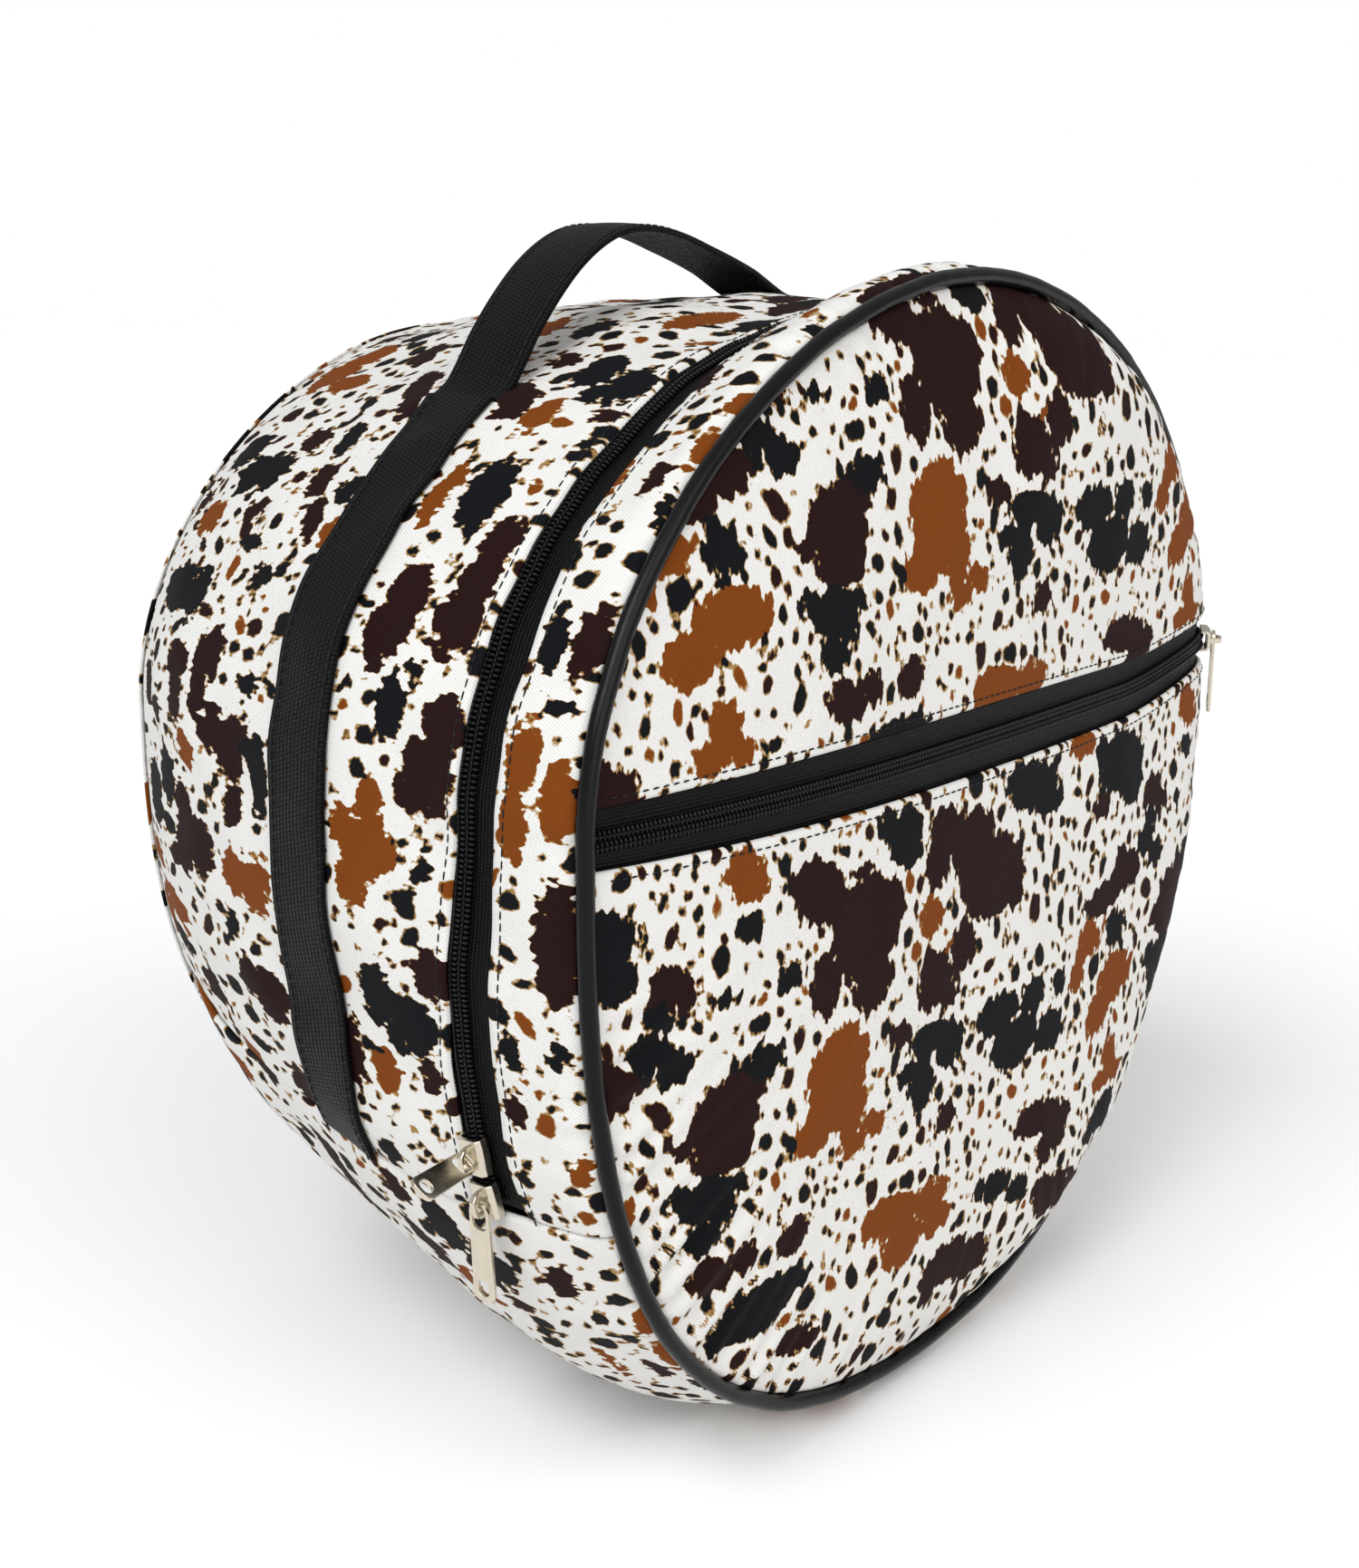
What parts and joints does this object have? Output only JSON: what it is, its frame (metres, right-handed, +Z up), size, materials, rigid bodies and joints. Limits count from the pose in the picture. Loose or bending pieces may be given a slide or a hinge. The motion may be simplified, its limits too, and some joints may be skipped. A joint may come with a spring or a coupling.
{
  "type": "riding helmet bag",
  "caption": "Round padded helmet bag with a zipped front pocket, a long zip round the opening, a webbing handle and pull tabs that swing.",
  "frame": {"origin": "centre of the bounding box, at the level of the flat underside", "axes": "+Z up, +X to the right as seen from the front, -Y towards the front panel"},
  "size_m": [0.3761, 0.2362, 0.3482],
  "materials": {
    "printed_cloth": "plain weave with an animal print",
    "piping_vinyl": "satin black",
    "black_webbing": "woven",
    "zip_tape": "woven",
    "zip_coil": "satin",
    "nickel": "polished, a little worn"
  },
  "bodies": {
    "bag": {"front_panel_upper": "printed_cloth", "front_panel_lower": "printed_cloth", "front_piping": "piping_vinyl", "door_gusset": "printed_cloth", "body_gusset": "printed_cloth", "bottom_panel": "printed_cloth", "back_panel": "printed_cloth", "main_zip_tape": "zip_tape", "main_zip_coil": "zip_coil", "upper_zip_slider": "nickel", "lower_zip_slider": "nickel", "pocket_zip_tape": "zip_tape", "pocket_zip_coil": "zip_coil", "pocket_zip_slider": "nickel", "carry_strap": "black_webbing"},
    "upper_tab": {"upper_pull_tab": "nickel"},
    "lower_tab": {"lower_pull_tab": "nickel"},
    "pocket_tab": {"pocket_pull_tab": "nickel"}
  },
  "joints": [
    {"name": "upper_tab_swing", "type": "hinge", "parent": "bag", "child": "upper_tab", "pos_m": [-0.16056, -0.06069, 0.11141], "axis": [0.1597, -0.7547, -0.6363], "range_deg": [0, 53]},
    {"name": "lower_tab_swing", "type": "hinge", "parent": "bag", "child": "lower_tab", "pos_m": [-0.15672, -0.06129, 0.098], "axis": [0.0013, -1, -0.0043], "range_deg": [-88, 8]},
    {"name": "pocket_tab_swing", "type": "hinge", "parent": "bag", "child": "pocket_tab", "pos_m": [0.17006, -0.11129, 0.21074], "axis": [0.8833, 0.4674, 0.0362], "range_deg": [-14, 5]}
  ]
}
